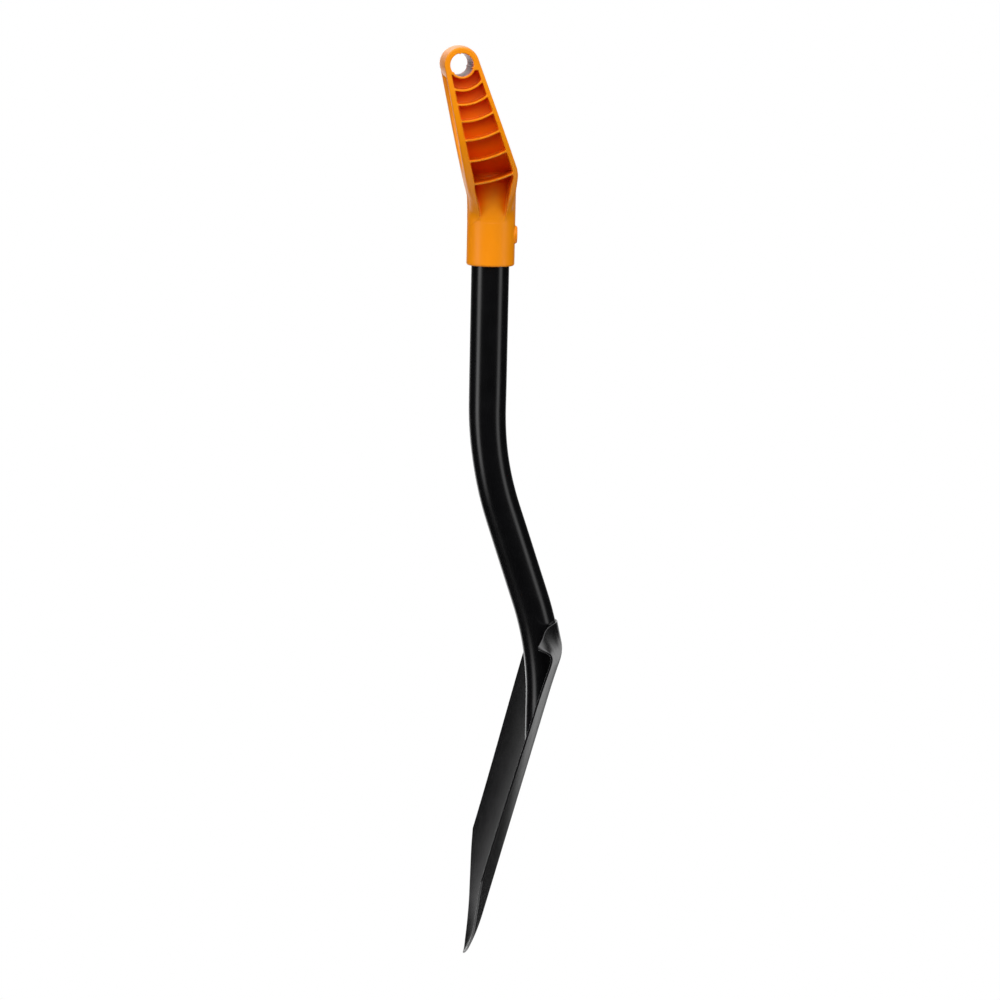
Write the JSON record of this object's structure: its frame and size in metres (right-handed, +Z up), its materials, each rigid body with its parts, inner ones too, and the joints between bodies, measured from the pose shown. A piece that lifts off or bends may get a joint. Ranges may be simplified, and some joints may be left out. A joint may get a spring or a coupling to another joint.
{
  "type": "round point spade",
  "caption": "Compact round-point digging spade: dished steel blade with folded treads, S-bent tube shaft and a moulded D-handle with ribbed open-channel arms.",
  "frame": {"origin": "centre of the bore through the grip, which is also the point the spade hangs from", "axes": "+X along the grip, +Z up along the straight upper shaft, -Y towards the scooping side of the blade"},
  "size_m": [0.2, 0.1174, 0.8121],
  "materials": {
    "orange_plastic": "satin moulded polypropylene",
    "zinc_screw": "zinc plated",
    "black_shaft_paint": "semi-gloss black powder coat",
    "black_blade_paint": "satin black powder coat",
    "black_weld_paint": "painted weld"
  },
  "bodies": {
    "root": {"d_handle": "orange_plastic", "handle_screw": "zinc_screw", "shaft_tube": "black_shaft_paint", "blade": "black_blade_paint", "weld_bead": "black_weld_paint", "weld_top_left": "black_weld_paint", "weld_top_right": "black_weld_paint"}
  },
  "joints": []
}
